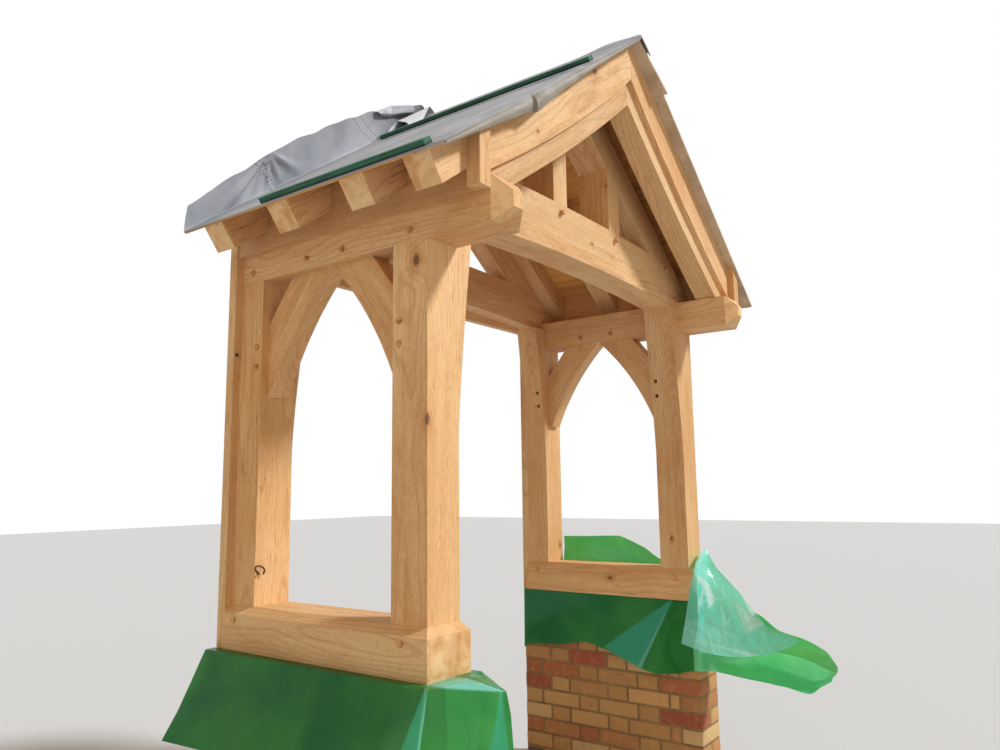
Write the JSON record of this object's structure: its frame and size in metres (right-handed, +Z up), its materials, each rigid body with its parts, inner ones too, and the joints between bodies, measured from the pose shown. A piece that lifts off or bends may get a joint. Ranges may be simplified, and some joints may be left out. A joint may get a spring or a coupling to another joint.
{
  "type": "porch canopy",
  "caption": "Open oak-framed porch canopy with a steep gabled roof, curved barge boards, arched tie and curved braces, standing on brick dwarf walls against a house.",
  "frame": {"origin": "on the ground, in the middle of the porch, in the plane of the house wall", "axes": "+X to the right seen from the front, +Y into the house wall, +Z up"},
  "size_m": [2.5358, 1.625, 3.4842],
  "materials": {
    "oak": "planed, unfinished",
    "peg_oak": "riven",
    "boarding": "sawn",
    "batten": "sawn, stained green",
    "brick": "rough",
    "membrane": "crumpled, dull",
    "polythene": "glossy, creased"
  },
  "bodies": {
    "root": {"dwarf_wall_left": "brick", "dwarf_wall_right": "brick", "sill_left": "oak", "sill_right": "oak", "front_post_left": "oak", "front_post_right": "oak", "rear_post_left": "oak", "rear_post_right": "oak", "wall_pad_left": "oak", "wall_pad_right": "oak", "wall_pad_head": "oak", "eaves_beam_left": "oak", "eaves_beam_right": "oak", "front_tie": "oak", "rear_tie": "oak", "front_principal_left": "oak", "front_principal_right": "oak", "rear_principal_left": "oak", "rear_principal_right": "oak", "queen_strut_left": "oak", "queen_strut_right": "oak", "brace_front_left": "oak", "brace_front_right": "oak", "brace_rear_left": "oak", "brace_rear_right": "oak", "gable_rafter_left": "oak", "gable_rafter_right": "oak", "rafters_left": "oak", "rafters_right": "oak", "gable_principal_left": "oak", "gable_principal_right": "oak", "barge_board_left": "oak", "barge_board_right": "oak", "stop_block_left": "oak", "stop_block_right": "oak", "eaves_board_left": "oak", "eaves_board_right": "oak", "boarding_left": "boarding", "boarding_right": "boarding", "membrane_left": "membrane", "membrane_right": "membrane", "battens": "batten", "sheet_left": "polythene", "sheet_right": "polythene", "pegs": "peg_oak"}
  },
  "joints": []
}
